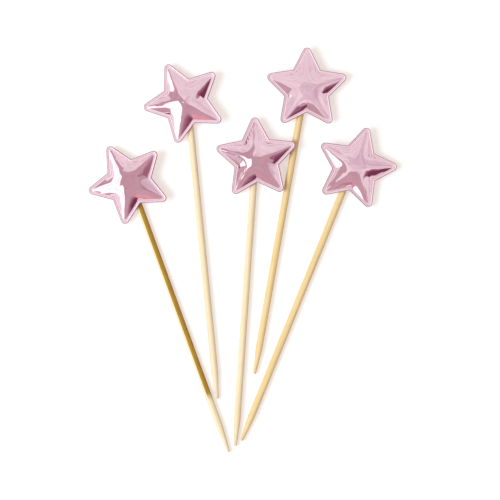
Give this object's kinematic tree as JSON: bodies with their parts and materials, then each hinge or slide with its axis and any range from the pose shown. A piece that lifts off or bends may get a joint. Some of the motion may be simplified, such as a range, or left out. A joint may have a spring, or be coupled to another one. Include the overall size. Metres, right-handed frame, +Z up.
{
  "type": "cupcake topper",
  "caption": "Padded metallic five-point star glued to a pointed bamboo stick that presses into a cake; loose toppers of one set lie in a fan.",
  "frame": {"origin": "on the table, at the middle of the area that the fan of toppers covers", "axes": "+Z up from the table, +Y along the fan from the stick points towards the stars"},
  "size_m": [0.1543, 0.2026, 0.0093],
  "materials": {
    "front_film": "pink metallic foil film",
    "back_film": "pink metallic foil film, satin",
    "wadding": "soft white padding",
    "hot_glue": "cloudy hot-melt glue",
    "bamboo": "plain sanded bamboo"
  },
  "bodies": {
    "upper_left_topper": {"upper_left_front_skin": "front_film", "upper_left_padding": "wadding", "upper_left_back_skin": "back_film", "upper_left_glue_bead": "hot_glue", "upper_left_stick": "bamboo"},
    "left_topper": {"left_front_skin": "front_film", "left_padding": "wadding", "left_back_skin": "back_film", "left_glue_bead": "hot_glue", "left_stick": "bamboo"},
    "upper_right_topper": {"upper_right_front_skin": "front_film", "upper_right_padding": "wadding", "upper_right_back_skin": "back_film", "upper_right_glue_bead": "hot_glue", "upper_right_stick": "bamboo"},
    "centre_topper": {"centre_front_skin": "front_film", "centre_padding": "wadding", "centre_back_skin": "back_film", "centre_glue_bead": "hot_glue", "centre_stick": "bamboo"},
    "right_topper": {"right_front_skin": "front_film", "right_padding": "wadding", "right_back_skin": "back_film", "right_glue_bead": "hot_glue", "right_stick": "bamboo"}
  },
  "joints": [
    {"name": "upper_left_lift", "type": "slide", "parent": "upper_right_topper", "child": "upper_left_topper", "axis": [0, 0, 1], "range_m": [0, 0.06]},
    {"name": "left_lift", "type": "slide", "parent": "upper_right_topper", "child": "left_topper", "axis": [0, 0, 1], "range_m": [0, 0.06]},
    {"name": "centre_lift", "type": "slide", "parent": "upper_right_topper", "child": "centre_topper", "axis": [0, 0, 1], "range_m": [0, 0.06]},
    {"name": "right_lift", "type": "slide", "parent": "upper_right_topper", "child": "right_topper", "axis": [0, 0, 1], "range_m": [0, 0.06]}
  ]
}
